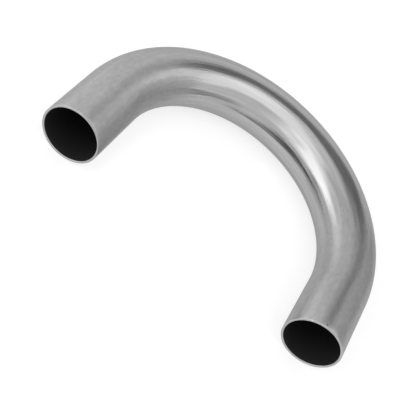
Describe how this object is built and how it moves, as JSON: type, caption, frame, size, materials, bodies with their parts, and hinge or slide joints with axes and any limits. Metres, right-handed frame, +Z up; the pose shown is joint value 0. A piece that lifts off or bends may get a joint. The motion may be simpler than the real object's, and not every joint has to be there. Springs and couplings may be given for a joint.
{
  "type": "return bend",
  "caption": "U-shaped return bend of thin-walled round tube, with a short straight run and an open, square-cut mouth at each end. It turns a pipe run or a rail back on itself.",
  "frame": {"origin": "middle of the footprint, on the surface that the bend lies on", "axes": "+X across the legs, +Y towards the crown of the bend, +Z up"},
  "size_m": [0.1842, 0.1302, 0.0318],
  "materials": {
    "stainless_steel": "satin, belt-brushed, smoother round the bend"
  },
  "bodies": {
    "root": {"return_bend": "stainless_steel"}
  },
  "joints": []
}
